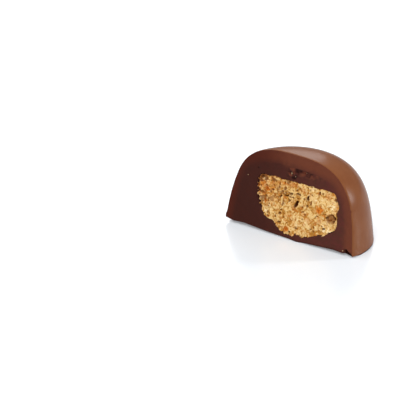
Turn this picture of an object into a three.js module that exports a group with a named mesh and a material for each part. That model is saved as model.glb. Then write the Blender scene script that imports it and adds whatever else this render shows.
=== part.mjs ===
// Half of a moulded chocolate biscuit: a milk chocolate shell, a dark chocolate filling and a round
// biscuit in the middle, cut through with a knife so that all three show on the cut face.
// Millimetres, +X along the cut, the cut face looks to -Y, +Z up, z = 0 is the table.
import * as THREE from "three";

// The moulded dome, before it was cut
const DOME = { radius: 15.0, height: 16.0, crown: 3.8 };
const DRAFT = THREE.MathUtils.degToRad(5.9);
const WALL_POWER = 3.0;

// The knife cut: it passes in front of the dome's axis at the table and leans back over it
const CUT_FROM_AXIS = 1.12;
const CUT_LEAN = THREE.MathUtils.degToRad(5.9);
const HOLLOW = { x: -13.5, z: 8.7, depth: 0.33, wide: 2.5, tall: 4.0 };
const AXIS_Y = (CUT_FROM_AXIS - DOME.radius) / 2;

// The milk chocolate shell, thinner on its left than on its right
const CAVITY = { radius: 13.3, height: 13.6, crown: 6.2 };
const CAVITY_X = -0.2;
const FOOT_LIP = { angle: 184, z: 1.35, depth: 0.17, tall: 0.55, spread: 14 };
const CHIP = { x: 13.75, z: 0.3, depth: 0.5, wide: 1.25, tall: 0.8, floor: 0.6 };

// Clearance between neighbouring solids
const GAP = 0.22;

// The underside: flat on the table, its outer rim a little raised, its cut edge wavy
const RIM_RISE = 0.25;
const EDGE_FADE = 3.0;
const EDGE_X = [-15, -13, -10.5, -5, 0, 1.8, 3.4, 10.5, 13, 15];
const EDGE_Z = [0.85, 0.55, 0.7, 0.35, 0.2, 0.0, 0.2, 0.6, 0.45, 0.3];

// The biscuit's section on the cut face: flat on top, domed below
const BISCUIT_X = 1.2;
const BISCUIT_Z = 6.3;
const BISCUIT_LEFT = -8.25;
const BISCUIT_RIGHT = 10.75;
const BISCUIT_TOP = 10.95;
const BISCUIT_TOP_SLOPE = 0.01;
const BISCUIT_CORNER = 1.4;
const BISCUIT_ASPECT = 1.8;
const UNDER = { z: 0.8, leftX: -0.4, rightX: 0.5, leftRun: 7.85, leftRise: 5.9, leftPower: 1.6 };
const UNDER_RIGHT = { rise: 0.095, power: 1.5 };
const NOTCHES = [
  { x: -3.95, depth: 0.75, wide: 0.85 },
  { x: 1.6, depth: 0.38, wide: 0.75 },
];
// Its upper right corner is broken off; turn and width in degrees
const LOST_CORNER = { turn: 24.5, depth: 0.4, wide: 6.0 };
const RAGGED = [
  { lobes: 17, size: 0.09, turn: 4.0 },
  { lobes: 26, size: 0.06, turn: 2.0 },
];
const BISCUIT_DEPTH = 8.6;

// The crumb of the biscuit: loose grains, and the larger holes that the knife opened
const CRUMB = { grain: 1.15, size: 0.34, sunk: 0.16 };
const HOLES = [
  { x: 1.15, z: 6.95, wide: 0.42, tall: 0.85, turn: -0.42, depth: 1.0 },
  { x: 9.45, z: 6.1, wide: 1.1, tall: 1.15, turn: 0.0, depth: 0.75 },
  { x: -0.5, z: 8.4, wide: 0.75, tall: 0.4, turn: 0.5, depth: 0.35 },
  { x: 3.6, z: 8.8, wide: 0.35, tall: 0.4, turn: 0.0, depth: 0.4 },
  { x: -5.7, z: 8.1, wide: 0.6, tall: 0.45, turn: 0.0, depth: 0.3 },
];

// Facets
const AROUND = 40;
const UPWARD = 20;
const BAND = [0, 0.27, 0.62, 1];
const BASE_ROWS = [0, 0.3, 0.62, 0.86, 1];
const FACE_ROWS = [0, 0.35, 0.7, 1];
const CRUMB_ACROSS = 52;
const CRUMB_UPWARD = 30;
const BACK_ROWS = 7;
const SAME_POINT = 1e-3;

const lerp = THREE.MathUtils.lerp;
const bell = (offset, width) => Math.exp(-((offset / width) ** 2));

// ---- Shape of the dome, the cut and the underside ----

function domeRadius(z, dome) {
  const wall = dome.radius - z * Math.tan(DRAFT);
  const crown = 1 - (Math.max(z, 0) / dome.height) ** dome.crown;
  return wall * Math.max(crown, 0) ** (1 / WALL_POWER);
}

function cutY(x, z) {
  const hollow = HOLLOW.depth * bell(x - HOLLOW.x, HOLLOW.wide) * bell(z - HOLLOW.z, HOLLOW.tall);
  const fromChip = Math.hypot((x - CHIP.x) / CHIP.wide, (z - CHIP.z) / CHIP.tall);
  const chip = CHIP.depth * (1 - THREE.MathUtils.smoothstep(fromChip, CHIP.floor, 1));
  return AXIS_Y - CUT_FROM_AXIS + z * Math.tan(CUT_LEAN) + hollow + chip;
}

const onCut = (x, z) => [x, cutY(x, z), z];

function cutEdgeZ(x) {
  let i = 1;
  while (i < EDGE_X.length - 1 && x > EDGE_X[i]) i += 1;
  const t = THREE.MathUtils.clamp((x - EDGE_X[i - 1]) / (EDGE_X[i] - EDGE_X[i - 1]), 0, 1);
  return lerp(EDGE_Z[i - 1], EDGE_Z[i], t);
}

function underZ(x, y) {
  const behind = y - cutY(x, 0);
  return cutEdgeZ(x) * (1 - THREE.MathUtils.smoothstep(behind, 0, EDGE_FADE));
}

// ---- Half dome: rings from the underside to the crown, each an arc from the right cut edge to the left ----

// Heights of the rings, closer together where the wall turns into the crown
function ringHeights(height) {
  const heights = [];
  for (let k = 0; k <= UPWARD; k += 1) heights.push(height * Math.sin((k / UPWARD) * Math.PI * 0.5));
  return heights;
}

function footLip(angle, z) {
  const turned = THREE.MathUtils.radToDeg(angle) - FOOT_LIP.angle;
  return FOOT_LIP.depth * bell(z - FOOT_LIP.z, FOOT_LIP.tall) * bell(turned, FOOT_LIP.spread);
}

// The two angles where a circle of this radius meets the cut
function cutAngles(radius, x0, z) {
  const ends = [];
  for (const side of [1, -1]) {
    let x = x0 + side * radius;
    let sine = 0;
    for (let n = 0; n < 12; n += 1) {
      sine = THREE.MathUtils.clamp((cutY(x, z) - AXIS_Y) / radius, -1, 1);
      x = x0 + side * radius * Math.sqrt(1 - sine * sine);
    }
    ends.push(side > 0 ? Math.asin(sine) : Math.PI - Math.asin(sine));
  }
  return ends;
}

// Rows of points of a half dome; `rise` lifts the lowest row off the table
function halfDome(dome, { x0, rise, lip }) {
  const top = [x0, cutY(x0, dome.height), dome.height];
  const levels = ringHeights(dome.height);
  const rows = [];
  levels.forEach((level, k) => {
    const row = [];
    const reach = domeRadius(level, dome);
    const [right, left] = k < UPWARD ? cutAngles(reach, x0, level) : [0, 0];
    for (let j = 0; j <= AROUND; j += 1) {
      if (k === UPWARD) {
        row.push(top);
        continue;
      }
      const atCut = j === 0 || j === AROUND;
      const angle = lerp(right, left, j / AROUND);
      let out = reach;
      let x = x0 + out * Math.cos(angle);
      let y = AXIS_Y + out * Math.sin(angle);
      const foot = Math.max(rise, underZ(x, y));
      const z = foot + (level * (dome.height - foot)) / dome.height;
      out = domeRadius(z, dome) + lip * footLip(angle, z);
      x = x0 + out * Math.cos(angle);
      y = AXIS_Y + out * Math.sin(angle);
      row.push(atCut ? onCut(x, z) : [x, y, z]);
    }
    rows.push(row);
  });
  return rows;
}

// The edge of a half dome on the cut face: up its right side, over the crown, down its left side
function cutEdge(rows) {
  const right = rows.map((row) => row[0]);
  const left = rows.slice(0, -1).map((row) => row[AROUND]);
  return [...right, ...left.reverse()];
}

// ---- The biscuit's section ----

function underSide(x) {
  const toLeft = Math.min(Math.max(UNDER.leftX - x, 0) / UNDER.leftRun, 1);
  const toRight = Math.max(x - UNDER.rightX, 0);
  const leftRise = UNDER.leftRise * (1 - (1 - toLeft ** UNDER.leftPower) ** (1 / UNDER.leftPower));
  const rightRise = UNDER_RIGHT.rise * toRight ** UNDER_RIGHT.power;
  const notches = NOTCHES.reduce((sum, notch) => sum + notch.depth * bell(x - notch.x, notch.wide), 0);
  return UNDER.z + leftRise + rightRise + notches;
}

// Negative inside the section; the corners between its sides are rounded
function sectionField(x, z) {
  const sides = [
    z - BISCUIT_TOP - BISCUIT_TOP_SLOPE * x,
    BISCUIT_LEFT - x,
    x - BISCUIT_RIGHT,
    underSide(x) - z,
  ];
  const sum = sides.reduce((total, side) => total + Math.max(side + BISCUIT_CORNER, 0) ** 2, 0);
  return Math.sqrt(sum) - BISCUIT_CORNER;
}

// Distance from the biscuit's middle to its outline
function outlineReach(angle) {
  let inside = 0;
  let outside = 2 * DOME.radius;
  for (let n = 0; n < 40; n += 1) {
    const middle = (inside + outside) / 2;
    const x = BISCUIT_X + middle * Math.cos(angle);
    const z = BISCUIT_Z + middle * Math.sin(angle);
    if (sectionField(x, z) < 0) inside = middle;
    else outside = middle;
  }
  return inside;
}

// How far the torn outline stands out beyond the smooth one
function ragged(angle) {
  const lobes = RAGGED.reduce((sum, r) => sum + r.size * Math.sin(r.lobes * angle + r.turn), 0);
  const away = THREE.MathUtils.euclideanModulo(THREE.MathUtils.radToDeg(angle) - LOST_CORNER.turn + 180, 360);
  return lobes - LOST_CORNER.depth * bell(away - 180, LOST_CORNER.wide);
}

// A point of the section, `share` of the way from its middle to its outline grown by `grow`
function sectionPoint(angle, share, grow) {
  const reach = share * (outlineReach(angle) + grow) + share ** 4 * ragged(angle);
  return [BISCUIT_X + reach * Math.cos(angle), BISCUIT_Z + reach * Math.sin(angle)];
}

// Rows from the outline on the cut face to the one point furthest behind it
function biscuitBack(angles, grow) {
  const rows = [];
  for (let v = 0; v <= BACK_ROWS; v += 1) {
    const turn = (v / BACK_ROWS) * Math.PI * 0.5;
    const share = Math.cos(turn);
    const behind = (BISCUIT_DEPTH + grow) * Math.sin(turn);
    rows.push(
      angles.map((angle) => {
        const [x, z] = sectionPoint(angle, v < BACK_ROWS ? share : 0, grow);
        return [x, cutY(x, z) + behind, z];
      }),
    );
  }
  return rows;
}

// ---- Crumb relief ----

function scatter(i, j) {
  const s = Math.sin(i * 127.1 + j * 311.7) * 43758.5453;
  return s - Math.floor(s);
}

// Smooth value noise, 0 to 1
function noise(x, z) {
  const i = Math.floor(x);
  const j = Math.floor(z);
  const u = THREE.MathUtils.smoothstep(x - i, 0, 1);
  const v = THREE.MathUtils.smoothstep(z - j, 0, 1);
  const low = lerp(scatter(i, j), scatter(i + 1, j), u);
  const high = lerp(scatter(i, j + 1), scatter(i + 1, j + 1), u);
  return lerp(low, high, v);
}

function holeDepth(hole, x, z) {
  const dx = x - hole.x;
  const dz = z - hole.z;
  const along = (dx * Math.cos(hole.turn) + dz * Math.sin(hole.turn)) / hole.wide;
  const across = (dz * Math.cos(hole.turn) - dx * Math.sin(hole.turn)) / hole.tall;
  return hole.depth * bell(Math.hypot(along, across) ** 2, 1);
}

// How far the crumb lies behind the cut
function crumbDepth(x, z) {
  const grains = CRUMB.size * (noise(x / CRUMB.grain * 2, z / CRUMB.grain * 2) - 0.5);
  const lumps = CRUMB.size * (noise(x / CRUMB.grain + 50, z / CRUMB.grain) - 0.5);
  return HOLES.reduce((sum, hole) => sum + holeDepth(hole, x, z), CRUMB.sunk + grains + lumps);
}

// A square of cells laid over the section so that all cells stay about as large
function crumbFace() {
  const rows = [];
  for (let i = 0; i <= CRUMB_ACROSS; i += 1) {
    const row = [];
    for (let j = 0; j <= CRUMB_UPWARD; j += 1) {
      const [angle, share] = squareToDisc((2 * i) / CRUMB_ACROSS - 1, (2 * j) / CRUMB_UPWARD - 1);
      const [x, z] = sectionPoint(angle, share, 0);
      const sink = share < 1 ? crumbDepth(x, z) * Math.min(1, 6 * (1 - share)) : 0;
      row.push([x, cutY(x, z) + sink, z]);
    }
    rows.push(row);
  }
  return rows;
}

// Angle and share of the way out for a point of the square -1 to 1; its corners go to the section's
function squareToDisc(a, b) {
  const share = Math.max(Math.abs(a), Math.abs(b));
  if (share === 0) return [0, 0];
  const alongX = Math.abs(a) >= Math.abs(b);
  const turn = (Math.PI / 4) * (alongX ? b / a : a / b);
  const across = (alongX ? Math.cos(turn) : Math.sin(turn)) * Math.sign(alongX ? a : b);
  const upward = (alongX ? Math.sin(turn) : Math.cos(turn)) * Math.sign(alongX ? a : b);
  return [Math.atan2(upward, BISCUIT_ASPECT * across), share];
}

// Angles of the outline's points, in order round the square's edge
function crumbRim() {
  const square = [];
  const step = (n, cells) => (2 * n) / cells - 1;
  for (let n = 0; n < CRUMB_UPWARD; n += 1) square.push([1, step(n, CRUMB_UPWARD)]);
  for (let n = 0; n < CRUMB_ACROSS; n += 1) square.push([-step(n, CRUMB_ACROSS), 1]);
  for (let n = 0; n < CRUMB_UPWARD; n += 1) square.push([-1, -step(n, CRUMB_UPWARD)]);
  for (let n = 0; n <= CRUMB_ACROSS; n += 1) square.push([step(n, CRUMB_ACROSS), -1]);
  return square.map(([a, b]) => squareToDisc(a, b)[0]);
}

// ---- Surfaces to solids ----

class Surface {
  constructor() {
    this.points = [];
    this.found = new Map();
    this.faces = [];
  }

  index(point) {
    const key = point.map((v) => Math.round(v / SAME_POINT)).join();
    if (!this.found.has(key)) {
      this.found.set(key, this.points.length / 3);
      this.points.push(...point);
    }
    return this.found.get(key);
  }

  triangle(a, b, c) {
    const [i, j, k] = [this.index(a), this.index(b), this.index(c)];
    if (i !== j && j !== k && k !== i) this.faces.push(i, j, k);
  }

  // Rows of points as quads; `turned` looks at them from the other side
  grid(rows, turned = false) {
    for (let r = 0; r < rows.length - 1; r += 1) {
      for (let c = 0; c < rows[r].length - 1; c += 1) {
        const [a, b] = [rows[r][c], rows[r][c + 1]];
        const [d, e] = [rows[r + 1][c], rows[r + 1][c + 1]];
        if (turned) {
          this.triangle(a, d, b);
          this.triangle(b, d, e);
        } else {
          this.triangle(a, b, d);
          this.triangle(b, e, d);
        }
      }
    }
  }

  mesh(name, material) {
    const geometry = new THREE.BufferGeometry();
    geometry.setAttribute("position", new THREE.Float32BufferAttribute(this.points, 3));
    geometry.setIndex(this.faces);
    geometry.computeVertexNormals();
    const mesh = new THREE.Mesh(geometry, material);
    mesh.name = name;
    return mesh;
  }
}

const between = (a, b, t) => a.map((v, n) => lerp(v, b[n], t));

// ---- The three parts ----

function milkShell() {
  const outer = halfDome(DOME, { x0: 0, rise: RIM_RISE, lip: 1 });
  const inner = halfDome(CAVITY, { x0: CAVITY_X, rise: 0, lip: 0 });
  const outerEdge = cutEdge(outer);
  const innerEdge = cutEdge(inner);
  const last = outerEdge.length - 1;
  const footPoint = (a, b, t) => {
    const x = lerp(a[0], b[0], t);
    return t === 0 ? a : onCut(x, t === 1 ? b[2] : cutEdgeZ(x));
  };
  const front = BAND.map((t) =>
    outerEdge.map((point, s) => {
      if (s === 0 || s === last) return footPoint(point, innerEdge[s], t);
      const [x, , z] = between(point, innerEdge[s], t);
      return onCut(x, z);
    }),
  );
  const under = BAND.map((t) =>
    outer[0].map((point, j) => {
      if (j === 0 || j === AROUND) return footPoint(point, inner[0][j], t);
      const [x, y, z] = between(point, inner[0][j], t);
      return t === 0 || t === 1 ? [x, y, z] : [x, y, underZ(x, y)];
    }),
  );
  const shell = new Surface();
  shell.grid(outer);
  shell.grid(inner, true);
  shell.grid(front);
  shell.grid(under, true);
  const look = new THREE.MeshStandardMaterial({ color: 0x7d4b35, roughness: 0.35, metalness: 0 });
  return shell.mesh("milk_shell", look);
}

function darkFilling() {
  const core = { ...CAVITY, radius: CAVITY.radius - GAP, height: CAVITY.height - GAP };
  const dome = halfDome(core, { x0: CAVITY_X, rise: 0, lip: 0 });
  const arch = cutEdge(dome);
  const arc = dome[0];
  const chord = arc.map(([x, , z], j) => (j === 0 || j === AROUND ? arc[j] : onCut(x, cutEdgeZ(x))));
  const under = BASE_ROWS.map((t) =>
    arc.map((point, j) => {
      const [x, y] = between(point, chord[j], t);
      if (t === 0) return point;
      return t === 1 ? chord[j] : [x, y, j === 0 || j === AROUND ? point[2] : underZ(x, y)];
    }),
  );
  const loop = [...arch, ...chord.slice(0, -1).reverse()];
  const angles = loop.map(([x, , z]) => Math.atan2(z - BISCUIT_Z, x - BISCUIT_X));
  const back = biscuitBack(angles, GAP);
  const face = FACE_ROWS.map((t) =>
    loop.map((point, s) => {
      if (t === 0) return point;
      const [x, , z] = between(point, back[0][s], t);
      return onCut(x, z);
    }),
  );
  const filling = new Surface();
  filling.grid(dome);
  filling.grid(under, true);
  filling.grid(face);
  filling.grid(back);
  const look = new THREE.MeshStandardMaterial({ color: 0x472520, roughness: 0.45, metalness: 0 });
  return filling.mesh("dark_filling", look);
}

function biscuitCentre() {
  const biscuit = new Surface();
  biscuit.grid(crumbFace(), true);
  biscuit.grid(biscuitBack(crumbRim(), 0), true);
  const look = new THREE.MeshStandardMaterial({ color: 0xdcb276, roughness: 0.95, metalness: 0 });
  return biscuit.mesh("biscuit_centre", look);
}

const part = new THREE.Group();
part.name = "chocolate_biscuit_half";
part.add(milkShell(), darkFilling(), biscuitCentre());

export default part;
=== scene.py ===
"""Looks of the half chocolate biscuit: moulded milk chocolate shell, dark filling and crumbly biscuit.

The shapes are worked out in millimetres in the part's own frame (+X along the cut, the cut face
looks to -Y, +Z up, z = 0 is the table) and put into the scene in metres.
"""

import math

import bpy
import numpy as np
from mathutils import Matrix, Vector


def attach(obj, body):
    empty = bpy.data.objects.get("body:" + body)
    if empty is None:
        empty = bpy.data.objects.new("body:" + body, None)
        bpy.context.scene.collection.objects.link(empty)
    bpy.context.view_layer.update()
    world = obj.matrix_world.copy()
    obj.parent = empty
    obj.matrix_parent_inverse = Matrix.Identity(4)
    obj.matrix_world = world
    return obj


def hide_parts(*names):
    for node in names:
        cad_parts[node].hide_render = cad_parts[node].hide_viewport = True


MM = 0.001

# ---- Sizes of the solids, in mm and degrees ----
DOME = {"radius": 15.0, "height": 16.0, "crown": 3.8}
CAVITY = {"radius": 13.2, "height": 13.5, "crown": 6.2}
CAVITY_X = -0.2
DRAFT = math.radians(5.9)
WALL_POWER = 3.0
CUT_FROM_AXIS = 1.12
CUT_LEAN = math.radians(5.9)
AXIS_Y = (CUT_FROM_AXIS - DOME["radius"]) / 2
HOLLOW = {"x": -13.5, "z": 8.7, "depth": 0.33, "wide": 2.5, "tall": 4.0}
FOOT_LIP = {"angle": 184, "z": 1.35, "depth": 0.17, "tall": 0.55, "spread": 14}
CHIP = {"x": 13.75, "z": 0.3, "depth": 0.5, "wide": 1.25, "tall": 0.8}
CHIP_PIT = {"x": 13.4, "z": 0.85, "depth": 0.5, "wide": 0.55, "tall": 0.6}
NICK = {"x": 13.85, "z": 8.6, "depth": 0.22, "wide": 0.3, "tall": 0.5}
# shares of a broken-off place's size between which its wall rises
BROKEN_FLOOR, BROKEN_RIM = 0.6, 1.0
RIM_RISE = 0.25
EDGE_FADE = 3.0
EDGE_X = [-15, -13, -10.5, -5, 0, 1.8, 3.4, 10.5, 13, 15]
EDGE_Z = [0.85, 0.55, 0.7, 0.35, 0.2, 0.0, 0.2, 0.6, 0.45, 0.3]
MIDDLE_X, MIDDLE_Z = 1.2, 6.3
BISCUIT_LEFT, BISCUIT_RIGHT = -8.25, 10.75
BISCUIT_TOP, BISCUIT_TOP_SLOPE = 10.95, 0.01
BISCUIT_CORNER = 1.4
BISCUIT_ASPECT = 1.8
UNDER = {"z": 0.8, "left_x": -0.4, "right_x": 0.5, "left_run": 7.85, "left_rise": 5.9, "power": 1.6}
UNDER_RIGHT = {"rise": 0.095, "power": 1.5}
# x, depth and half width of the hollows in the biscuit's lower edge
NOTCHES = ((-3.95, 0.75, 0.85), (1.6, 0.38, 0.75))
# turn in degrees, depth and half width in degrees of the place where the upper right corner is broken off
LOST_CORNER = (24.5, 0.4, 6.0)
# lobes round the outline, size and turn
RAGGED = ((17, 0.09, 4.0), (26, 0.06, 2.0))
BISCUIT_DEPTH = 8.6
# the edge of the biscuit's face lies about this far behind the cut
FACE_EDGE_DEPTH = 1.6
# the filling's rim stands a little away from the biscuit, so that its torn edge shows
RIM_GROW = 0.08
CUT_EDGE_ROUND = 0.1

# ---- Meshing ----
# how close together the rows of a dome lie near the crown
ROW_POWER = 1.2
# reach in mm of the last rows before the crown
CROWN_REACHES = (0.9, 0.75, 0.64, 0.57)
# shares of an arc at which its second and third columns lie, which keeps the rounding of the cut edge small
SECOND_COLUMN, THIRD_COLUMN = 0.004, 0.012
ROWS_UP = 110
SHELL_COLUMNS, FILLING_COLUMNS = 130, 120
CORE_COLUMNS, CORE_ROWS = 8, 60
# shares of the way from the shell's outer edge to its inner edge
BAND_SHARES = np.concatenate([[0, 0.03], np.linspace(0.09, 1, 16)])
FILLING_FACE_ROWS, FILLING_UNDER_ROWS = 60, 14
BISCUIT_CELLS_X, BISCUIT_CELLS_Z = 380, 210
BACK_ROWS = 9
# passes of the search for the point where an arc meets the cut, and for the biscuit's outline
CUT_PASSES, OUTLINE_PASSES = 12, 40
# how many points are measured against the cavity's edge at a time
CHUNK = 4000
# points about this close in mm become one, and faces that meet at more than this angle keep a sharp edge
WELD = 2e-4
CREASE = math.radians(62)

# ---- Camera: where it looks and from where, as measured from the photograph ----
CAMERA_AZIMUTH = math.radians(39.4)
CAMERA_ELEVATION = math.radians(19.68)
CAMERA_ROLL = math.radians(1.18)
CAMERA_DISTANCE = 1318.0
CAMERA_TARGET = (-21.29, AXIS_Y + 1.54, 0.25)
SENSOR_MM = 36.0
LENS_MM = 616.7
CLIP_NEAR_M, CLIP_FAR_M = 0.01, 20

# ---- Seeds of the noises ----
SEEDS = {
    "wave": 11,
    "ripple": 12,
    "coarse tear": 13,
    "fine tear": 15,
    "coarse grain": 14,
    "fine grain": 16,
    "grit": 19,
    "swell": 20,
    "pit": 24,
    "brown": 26,
    "warp": 31,
    "toast": 52,
    "toast edge": 54,
    "fringe": 62,
    "fine fringe": 63,
    "loose crumb": 71,
}


# ---- Small maths ----
def bell(offset, width):
    return np.exp(-((offset / width) ** 2))


def smooth(low, high, value):
    t = np.clip((value - low) / (high - low), 0, 1)
    return t * t * (3 - 2 * t)


def mix(a, b, t):
    return a + (b - a) * t


def linear(red, green, blue):
    """A colour given as 0 to 255 screen values, as the linear values that a material takes."""
    made = []
    for value in (red, green, blue):
        v = value / 255
        made.append(v / 12.92 if v <= 0.04045 else ((v + 0.055) / 1.055) ** 2.4)
    return (*made, 1.0)


# large odd numbers that scatter the bits of whole numbers, and the bits that are kept
SCATTER_X, SCATTER_Y, SCATTER_Z = 73856093, 19349663, 83492791
SCATTER_SEED, SCATTER_AGAIN = 2654435761, 0x45D9F3B
BITS_32, BITS_24 = 0xFFFFFFFF, 0xFFFFFF
# how much further on the seed of a grain's own number lies than that of its place
OWN_NUMBER = 7


def lattice(i, j, k, seed):
    """A random number from 0 to 1 for each whole-numbered point, the same each time."""
    h = i.astype(np.int64) * SCATTER_X ^ j.astype(np.int64) * SCATTER_Y ^ k.astype(np.int64) * SCATTER_Z
    h = (h ^ (seed * SCATTER_SEED)) & BITS_32
    for _ in range(2):
        h = ((h ^ (h >> 16)) * SCATTER_AGAIN) & BITS_32
    return ((h ^ (h >> 16)) & BITS_24) / (BITS_24 + 1)


def value_noise(p, size, seed):
    """Smooth noise from -1 to 1 at points p, with lumps about `size` wide."""
    q = p / size
    cell = np.floor(q)
    f = q - cell
    f = f * f * (3 - 2 * f)
    total = np.zeros(len(p))
    for dx in (0, 1):
        for dy in (0, 1):
            for dz in (0, 1):
                weight = np.abs(1 - dx - f[:, 0]) * np.abs(1 - dy - f[:, 1]) * np.abs(1 - dz - f[:, 2])
                total += weight * lattice(cell[:, 0] + dx, cell[:, 1] + dy, cell[:, 2] + dz, seed)
    return 2 * total - 1


def grains(p, size, seed, spread=1.0):
    """Distance to the nearest of scattered grains, in units of `size`, and that grain's own number.
    With a spread of 0 they all lie in the plane y = 0."""
    q = p / size
    cell = np.floor(q)
    near = np.full(len(p), np.inf)
    which = np.zeros(len(p))
    for dx in (-1, 0, 1):
        for dy in (-1, 0, 1):
            for dz in (-1, 0, 1):
                c = cell + (dx, dy, dz)
                away = [q[:, n] - c[:, n] - lattice(c[:, 0], c[:, 1], c[:, 2], seed + n) for n in range(3)]
                d = np.sqrt(away[0] ** 2 + (spread * away[1]) ** 2 + away[2] ** 2)
                closer = d < near
                own = lattice(c[:, 0], c[:, 1], c[:, 2], seed + OWN_NUMBER)
                which = np.where(closer, own, which)
                near = np.where(closer, d, near)
    return near, which


def flat_points(x, z):
    """A list of points in the plane y = 0, from grids of x and z."""
    return np.stack([x.ravel(), np.zeros(x.size), z.ravel()], 1)


def patch(x, z, at_x, at_z, wide, tall):
    """1 in the middle of an oval patch, fading to 0 round it."""
    return bell(np.hypot((x - at_x) / wide, (z - at_z) / tall), 1.0)


# ---- Shape of the dome, the cut and the underside ----
def dome_radius(z, dome):
    """How far the dome reaches from its axis at a height: drafted sides, and a rounded crown."""
    crown = np.clip(1 - (np.maximum(z, 0) / dome["height"]) ** dome["crown"], 0, 1)
    return (dome["radius"] - z * math.tan(DRAFT)) * crown ** (1 / WALL_POWER)


def crown_level(reach, dome):
    """How high the dome is where it reaches only that far from its axis, close to the crown."""
    top_radius = dome["radius"] - dome["height"] * math.tan(DRAFT)
    return dome["height"] * (1 - (reach / top_radius) ** WALL_POWER) ** (1 / dome["crown"])


def broken(x, z, place):
    """1 inside a broken-off place, 0 outside, with a steep wall between."""
    out = np.hypot((x - place["x"]) / place["wide"], (z - place["z"]) / place["tall"])
    return smooth(BROKEN_RIM, BROKEN_FLOOR, out)


def chipped(x, z):
    """1 inside the chip at the lower right and the pit in it, 0 outside."""
    return np.maximum(broken(x, z, CHIP), broken(x, z, CHIP_PIT))


def cut_y(x, z):
    """Where the cut face lies: a leaning plane with a shallow hollow, the chip, its pit and the nick."""
    hollow = HOLLOW["depth"] * bell(x - HOLLOW["x"], HOLLOW["wide"]) * bell(z - HOLLOW["z"], HOLLOW["tall"])
    lost = sum(place["depth"] * broken(x, z, place) for place in (CHIP, CHIP_PIT, NICK))
    return AXIS_Y - CUT_FROM_AXIS + z * math.tan(CUT_LEAN) + hollow + lost


def cut_edge_z(x):
    return np.interp(x, EDGE_X, EDGE_Z)


def under_z(x, y):
    """Height of the underside: the wavy foot at the cut, flat on the table further back."""
    return cut_edge_z(x) * (1 - smooth(0, EDGE_FADE, y - cut_y(x, 0)))


def foot_lip(angle, z):
    turned = np.degrees(angle) - FOOT_LIP["angle"]
    return FOOT_LIP["depth"] * bell(z - FOOT_LIP["z"], FOOT_LIP["tall"]) * bell(turned, FOOT_LIP["spread"])


def cut_angle(radius, x0, z, side):
    """The turn at which a circle round the axis meets the cut, on its right (1) or left (-1) side."""
    x = x0 + side * radius
    sine = 0.0
    for _ in range(CUT_PASSES):
        sine = np.clip((cut_y(x, z) - AXIS_Y) / radius, -1, 1)
        x = x0 + side * radius * math.sqrt(1 - sine * sine)
    return math.asin(sine) if side > 0 else math.pi - math.asin(sine)


def arc_shares(columns):
    """Where the points of an arc lie, as shares of it, close together next to the cut."""
    between = np.linspace(THIRD_COLUMN, 1 - THIRD_COLUMN, columns - 4)
    return np.concatenate([[0, SECOND_COLUMN], between, [1 - SECOND_COLUMN, 1]])


def half_dome(dome, x0, rise, lip, columns, rows_up):
    """Arcs of points, one above another up to the crown, each from the right end of the cut to the left."""
    rows = []
    shares = arc_shares(columns)
    levels = [dome["height"] * math.sin((k / rows_up) ** ROW_POWER * math.pi / 2) for k in range(rows_up)]
    for level in levels + [crown_level(reach, dome) for reach in CROWN_REACHES]:
        reach = float(dome_radius(level, dome))
        first, last = cut_angle(reach, x0, level, 1), cut_angle(reach, x0, level, -1)
        angle = first + (last - first) * shares
        foot = np.maximum(rise, under_z(x0 + reach * np.cos(angle), AXIS_Y + reach * np.sin(angle)))
        z = foot + level * (dome["height"] - foot) / dome["height"]
        out = dome_radius(z, dome) + lip * foot_lip(angle, z)
        x, y = x0 + out * np.cos(angle), AXIS_Y + out * np.sin(angle)
        for end in (0, -1):
            y[end] = cut_y(x[end], z[end])
        rows.append(np.stack([x, y, z], 1))
    top = [x0, float(cut_y(x0, dome["height"])), dome["height"]]
    rows.append(np.tile(top, (columns, 1)))
    return np.array(rows)


def cut_edge(rows):
    """The edge of a half dome on the cut: up its right side, over the crown, down its left side."""
    return np.concatenate([rows[:, 0], rows[:-1, -1][::-1]])


# ---- The biscuit's section ----
def under_side(x):
    to_left = np.clip((UNDER["left_x"] - x) / UNDER["left_run"], 0, 1)
    to_right = np.maximum(x - UNDER["right_x"], 0)
    left = UNDER["left_rise"] * (1 - (1 - to_left ** UNDER["power"]) ** (1 / UNDER["power"]))
    right = UNDER_RIGHT["rise"] * to_right ** UNDER_RIGHT["power"]
    return UNDER["z"] + left + right + sum(deep * bell(x - at, wide) for at, deep, wide in NOTCHES)


def section_field(x, z):
    """Below 0 inside the biscuit's section, and above 0 outside."""
    above = z - BISCUIT_TOP - BISCUIT_TOP_SLOPE * x
    sides = (above, BISCUIT_LEFT - x, x - BISCUIT_RIGHT, under_side(x) - z)
    return np.sqrt(sum(np.maximum(side + BISCUIT_CORNER, 0) ** 2 for side in sides)) - BISCUIT_CORNER


def outline_reach(angle):
    """How far the section reaches from its middle in each direction."""
    inside, outside = np.zeros_like(angle), np.full_like(angle, 2 * DOME["radius"])
    for _ in range(OUTLINE_PASSES):
        middle = (inside + outside) / 2
        within = section_field(MIDDLE_X + middle * np.cos(angle), MIDDLE_Z + middle * np.sin(angle)) < 0
        inside, outside = np.where(within, middle, inside), np.where(within, outside, middle)
    return inside


def ragged(angle):
    turn, deep, wide = LOST_CORNER
    off = (np.degrees(angle) - turn + 180) % 360 - 180
    return sum(size * np.sin(lobes * angle + at) for lobes, size, at in RAGGED) - deep * bell(off, wide)


def section_edge(angle, grow):
    """The biscuit's ragged outline, made larger by `grow`."""
    reach = outline_reach(angle) + grow + ragged(angle)
    return MIDDLE_X + reach * np.cos(angle), MIDDLE_Z + reach * np.sin(angle)


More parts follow.
